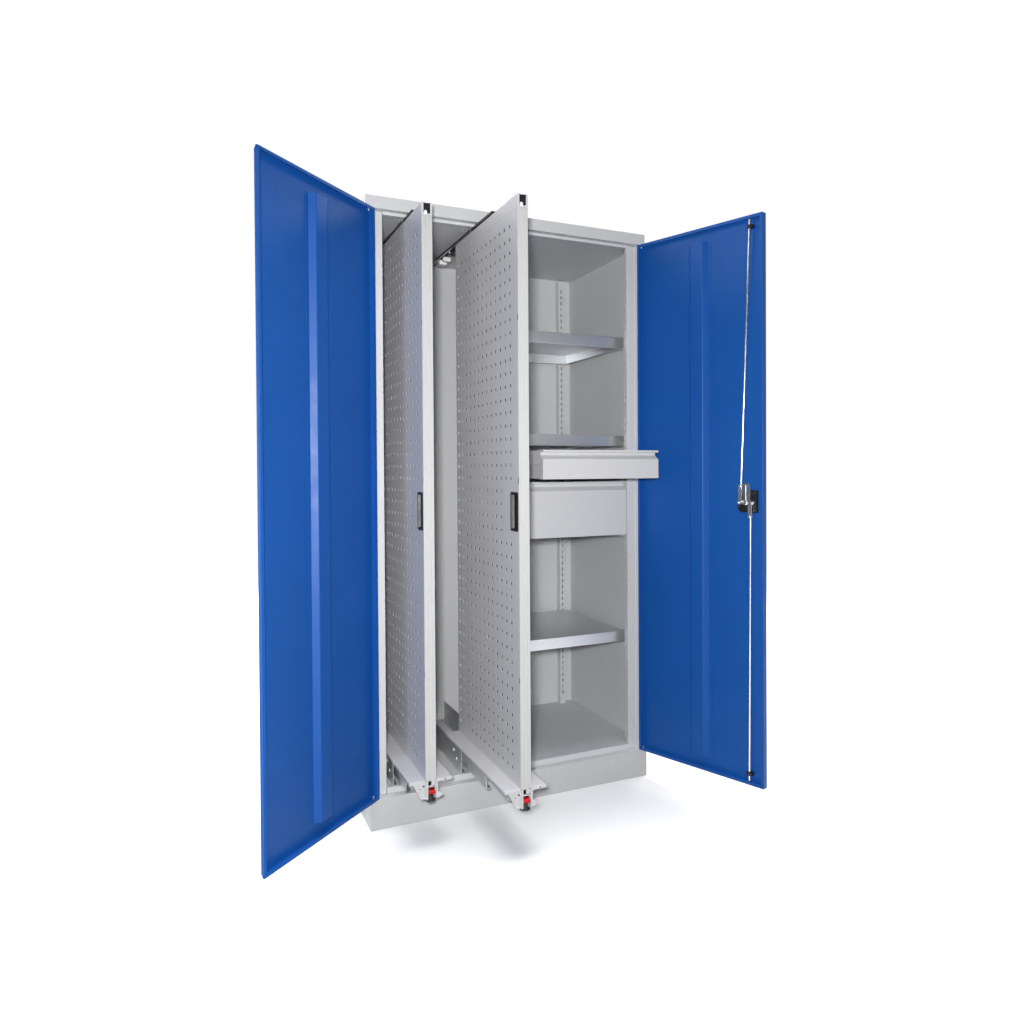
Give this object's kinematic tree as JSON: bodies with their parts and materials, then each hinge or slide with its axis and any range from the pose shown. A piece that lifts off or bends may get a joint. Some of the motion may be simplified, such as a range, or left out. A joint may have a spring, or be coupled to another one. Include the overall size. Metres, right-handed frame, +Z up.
{
  "type": "vertical pull-out cabinet",
  "caption": "Two-door tool cabinet with perforated vertical pull-outs on telescopic slides, drawers and shelves behind a centre partition.",
  "frame": {"origin": "centre of the base, on the ground", "axes": "+X to the right seen from the front, +Y to the back, +Z up"},
  "size_m": [1.5188, 1.0604, 1.95],
  "materials": {
    "carcass_paint": "satin light grey powder coat",
    "pullout_paint": "satin light grey powder coat",
    "drawer_paint": "satin light grey powder coat",
    "door_paint": "satin gentian blue powder coat",
    "galvanised": "galvanised sheet",
    "zinc": "zinc plated",
    "black_plastic": "matt black",
    "roller_plastic": "matt black",
    "red_plastic": "satin red"
  },
  "bodies": {
    "carcass": {"side_panel_left": "carcass_paint", "side_panel_right": "carcass_paint", "back_panel": "carcass_paint", "roof_panel": "carcass_paint", "ceiling_panel": "carcass_paint", "floor_panel": "carcass_paint", "plinth": "carcass_paint", "centre_partition": "carcass_paint", "slotted_posts": "carcass_paint", "top_shelf": "galvanised", "middle_shelf": "galvanised", "lower_shelf": "galvanised", "shelf_clips": "galvanised", "hinge_pins": "zinc", "roof_guide_rails": "zinc", "floor_guide_rails": "zinc", "drawer_cheeks": "carcass_paint", "drawer_runners_fixed": "zinc"},
    "left_door": {"left_door_panel": "door_paint", "left_door_stiffener": "door_paint"},
    "right_door": {"right_door_panel": "door_paint", "right_door_stiffener": "door_paint", "lock_case": "black_plastic", "rod_guides": "black_plastic"},
    "handle": {"door_handle": "black_plastic", "lock_cam": "zinc"},
    "barrel": {"lock_barrel": "zinc"},
    "rod_up": {"upper_rod": "zinc"},
    "rod_down": {"lower_rod": "zinc"},
    "pullout_1": {"pullout_1_front_profile": "pullout_paint", "pullout_1_rear_profile": "pullout_paint", "pullout_1_left_sheet": "pullout_paint", "pullout_1_right_sheet": "pullout_paint", "pullout_1_top_channel": "pullout_paint", "pullout_1_tray": "pullout_paint", "pullout_1_carriage": "pullout_paint", "pullout_1_grips": "black_plastic"},
    "pullout_1_middle": {"pullout_1_middle_rails": "zinc", "pullout_1_top_slide": "zinc"},
    "pullout_1_pedal": {"pullout_1_latch": "red_plastic"},
    "pullout_1_wheel": {"pullout_1_roller": "roller_plastic"},
    "pullout_2": {"pullout_2_front_profile": "pullout_paint", "pullout_2_rear_profile": "pullout_paint", "pullout_2_left_sheet": "pullout_paint", "pullout_2_right_sheet": "pullout_paint", "pullout_2_top_channel": "pullout_paint", "pullout_2_tray": "pullout_paint", "pullout_2_carriage": "pullout_paint", "pullout_2_grips": "black_plastic"},
    "pullout_2_middle": {"pullout_2_middle_rails": "zinc", "pullout_2_top_slide": "zinc"},
    "pullout_2_pedal": {"pullout_2_latch": "red_plastic"},
    "pullout_2_wheel": {"pullout_2_roller": "roller_plastic"},
    "drawer_1": {"drawer_1_box": "drawer_paint", "drawer_1_front": "drawer_paint"},
    "drawer_1_middle": {"drawer_1_middle_runners": "zinc"},
    "drawer_2": {"drawer_2_box": "drawer_paint", "drawer_2_front": "drawer_paint"},
    "drawer_2_middle": {"drawer_2_middle_runners": "zinc"}
  },
  "joints": [
    {"name": "left_door_hinge", "type": "hinge", "parent": "carcass", "child": "left_door", "pos_m": [-0.489, -0.2955, 0.095], "axis": [0, 0, 1], "range_deg": [-42.6, 49.4]},
    {"name": "right_door_hinge", "type": "hinge", "parent": "carcass", "child": "right_door", "pos_m": [0.489, -0.2955, 0.095], "axis": [0, 0, 1], "range_deg": [-21.7, 70.3]},
    {"name": "handle_turn", "type": "hinge", "parent": "right_door", "child": "handle", "pos_m": [0.6595, -0.68269, 1], "axis": [0.9415, 0.3371, 0], "range_deg": [0, 90]},
    {"name": "barrel_turn", "type": "hinge", "parent": "handle", "child": "barrel", "pos_m": [0.6595, -0.68269, 1], "axis": [0.9415, 0.3371, 0], "range_deg": [0, 90]},
    {"name": "upper_rod_slide", "type": "slide", "parent": "right_door", "child": "rod_up", "axis": [0, 0, 1], "range_m": [0, 0.022]},
    {"name": "lower_rod_slide", "type": "slide", "parent": "right_door", "child": "rod_down", "axis": [0, 0, -1], "range_m": [0, 0.022]},
    {"name": "pullout_1_slide", "type": "slide", "parent": "carcass", "child": "pullout_1", "axis": [0, -1, 0], "range_m": [-0.22, 0.26]},
    {"name": "pullout_1_middle_slide", "type": "slide", "parent": "carcass", "child": "pullout_1_middle", "axis": [0, -1, 0], "range_m": [-0.11, 0.13]},
    {"name": "pullout_1_latch_swing", "type": "hinge", "parent": "pullout_1", "child": "pullout_1_pedal", "pos_m": [-0.364, -0.474, 0.186], "axis": [1, 0, 0], "range_deg": [0, 12], "stiffness_Nm_per_rad": 0.3, "springref_deg": -5.73},
    {"name": "pullout_1_roller_spin", "type": "hinge", "parent": "pullout_1", "child": "pullout_1_wheel", "pos_m": [-0.364, -0.45, 0.158], "axis": [1, 0, 0], "continuous": true},
    {"name": "pullout_2_slide", "type": "slide", "parent": "carcass", "child": "pullout_2", "axis": [0, -1, 0], "range_m": [-0.394, 0.086]},
    {"name": "pullout_2_middle_slide", "type": "slide", "parent": "carcass", "child": "pullout_2_middle", "axis": [0, -1, 0], "range_m": [-0.197, 0.043]},
    {"name": "pullout_2_latch_swing", "type": "hinge", "parent": "pullout_2", "child": "pullout_2_pedal", "pos_m": [-0.138, -0.648, 0.186], "axis": [1, 0, 0], "range_deg": [0, 12], "stiffness_Nm_per_rad": 0.3, "springref_deg": -5.73},
    {"name": "pullout_2_roller_spin", "type": "hinge", "parent": "pullout_2", "child": "pullout_2_wheel", "pos_m": [-0.138, -0.624, 0.158], "axis": [1, 0, 0], "continuous": true},
    {"name": "drawer_1_slide", "type": "slide", "parent": "carcass", "child": "drawer_1", "axis": [0, -1, 0], "range_m": [-0.206, 0.194]},
    {"name": "drawer_1_middle_slide", "type": "slide", "parent": "carcass", "child": "drawer_1_middle", "axis": [0, -1, 0], "range_m": [-0.103, 0.097]},
    {"name": "drawer_2_slide", "type": "slide", "parent": "carcass", "child": "drawer_2", "axis": [0, -1, 0], "range_m": [0, 0.4]},
    {"name": "drawer_2_middle_slide", "type": "slide", "parent": "carcass", "child": "drawer_2_middle", "axis": [0, -1, 0], "range_m": [0, 0.2]}
  ],
  "couplings": [
    {"joint": "upper_rod_slide", "follows": "handle_turn", "m_per_rad": 0.014},
    {"joint": "lower_rod_slide", "follows": "handle_turn", "m_per_rad": 0.014},
    {"joint": "pullout_1_middle_slide", "follows": "pullout_1_slide", "ratio": 0.5},
    {"joint": "pullout_2_middle_slide", "follows": "pullout_2_slide", "ratio": 0.5},
    {"joint": "drawer_1_middle_slide", "follows": "drawer_1_slide", "ratio": 0.5},
    {"joint": "drawer_2_middle_slide", "follows": "drawer_2_slide", "ratio": 0.5}
  ]
}
